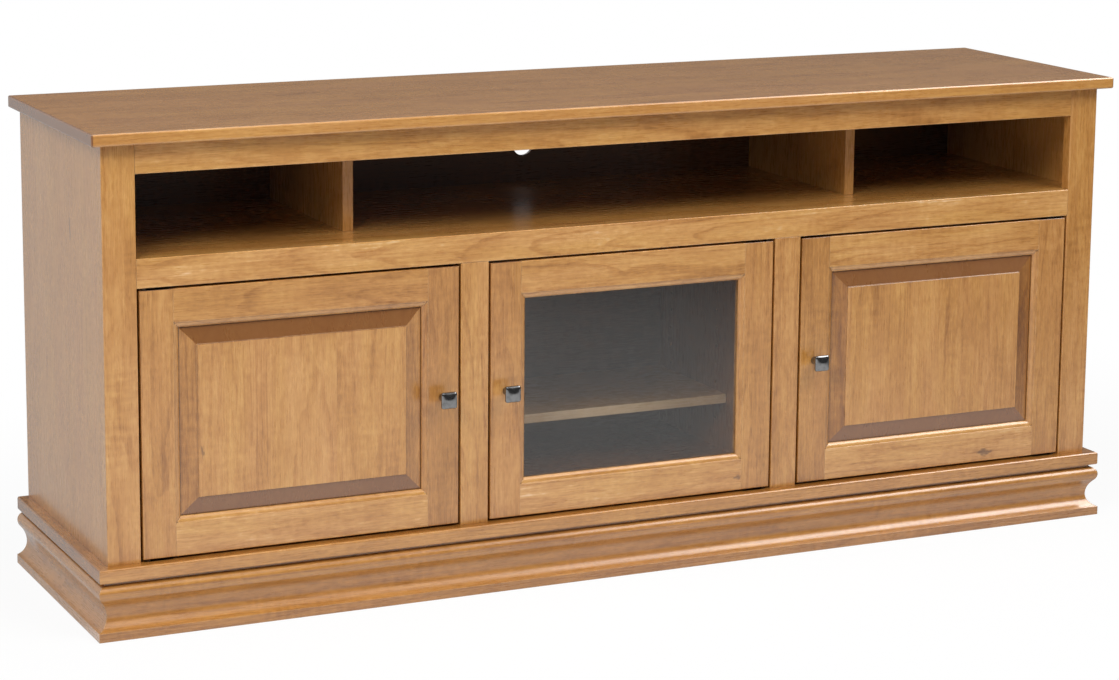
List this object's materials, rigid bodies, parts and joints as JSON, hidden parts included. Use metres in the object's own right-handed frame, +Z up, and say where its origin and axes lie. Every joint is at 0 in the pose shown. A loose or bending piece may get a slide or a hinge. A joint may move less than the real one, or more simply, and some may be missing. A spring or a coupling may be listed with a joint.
{
  "type": "media console",
  "caption": "Long low wooden media console with an open divided bay, raised-panel doors beside a glass door, square knobs and a moulded plinth base.",
  "frame": {"origin": "on the floor, at the middle of the console's box in plan", "axes": "+X to the right seen from the front, +Y towards the back, +Z up"},
  "size_m": [1.838, 0.4824, 0.785],
  "materials": {
    "stained_wood": "satin lacquer over brown stain",
    "tinted_glass": "smoked grey glass",
    "pewter": "satin pewter",
    "hinge_steel": "dark bronze",
    "zinc_steel": "zinc plated",
    "catch_plastic": "moulded brown"
  },
  "bodies": {
    "cabinet": {"back_panel": "stained_wood", "back_screws": "zinc_steel", "base_cap_front": "stained_wood", "base_cap_left": "stained_wood", "base_cap_right": "stained_wood", "base_moulding_front": "stained_wood", "base_moulding_left": "stained_wood", "base_moulding_right": "stained_wood", "base_rear_rail": "stained_wood", "bay_deck": "stained_wood", "cabinet_floor": "stained_wood", "centre_shelf": "stained_wood", "door_catches": "catch_plastic", "frame_hinge_leaves": "hinge_steel", "left_bay_divider": "stained_wood", "left_face_stile": "stained_wood", "left_mullion": "stained_wood", "left_partition": "stained_wood", "left_shelf": "stained_wood", "left_side_panel": "stained_wood", "middle_face_rail": "stained_wood", "right_bay_divider": "stained_wood", "right_face_stile": "stained_wood", "right_mullion": "stained_wood", "right_partition": "stained_wood", "right_shelf": "stained_wood", "right_side_panel": "stained_wood", "shelf_pegs": "zinc_steel", "sub_top": "stained_wood", "top_board": "stained_wood", "top_face_rail": "stained_wood", "top_screws": "zinc_steel"},
    "left_door": {"left_door_bottom_rail": "stained_wood", "left_door_hinge_leaves": "hinge_steel", "left_door_knob": "pewter", "left_door_knob_screw": "zinc_steel", "left_door_left_stile": "stained_wood", "left_door_panel": "stained_wood", "left_door_right_stile": "stained_wood", "left_door_strike": "zinc_steel", "left_door_top_rail": "stained_wood"},
    "centre_door": {"centre_door_bottom_rail": "stained_wood", "centre_door_glass": "tinted_glass", "centre_door_glass_stops": "stained_wood", "centre_door_hinge_leaves": "hinge_steel", "centre_door_knob": "pewter", "centre_door_knob_screw": "zinc_steel", "centre_door_left_stile": "stained_wood", "centre_door_right_stile": "stained_wood", "centre_door_strike": "zinc_steel", "centre_door_top_rail": "stained_wood"},
    "right_door": {"right_door_bottom_rail": "stained_wood", "right_door_hinge_leaves": "hinge_steel", "right_door_knob": "pewter", "right_door_knob_screw": "zinc_steel", "right_door_left_stile": "stained_wood", "right_door_panel": "stained_wood", "right_door_right_stile": "stained_wood", "right_door_strike": "zinc_steel", "right_door_top_rail": "stained_wood"}
  },
  "joints": [
    {"name": "left_door_hinge", "type": "hinge", "parent": "cabinet", "child": "left_door", "pos_m": [-0.8323, -0.20375, 0.113], "axis": [0, 0, -1], "range_deg": [0, 110]},
    {"name": "centre_door_hinge", "type": "hinge", "parent": "cabinet", "child": "centre_door", "pos_m": [0.2493, -0.20375, 0.113], "axis": [0, 0, 1], "range_deg": [0, 110]},
    {"name": "right_door_hinge", "type": "hinge", "parent": "cabinet", "child": "right_door", "pos_m": [0.8323, -0.20375, 0.113], "axis": [0, 0, 1], "range_deg": [0, 110]}
  ]
}
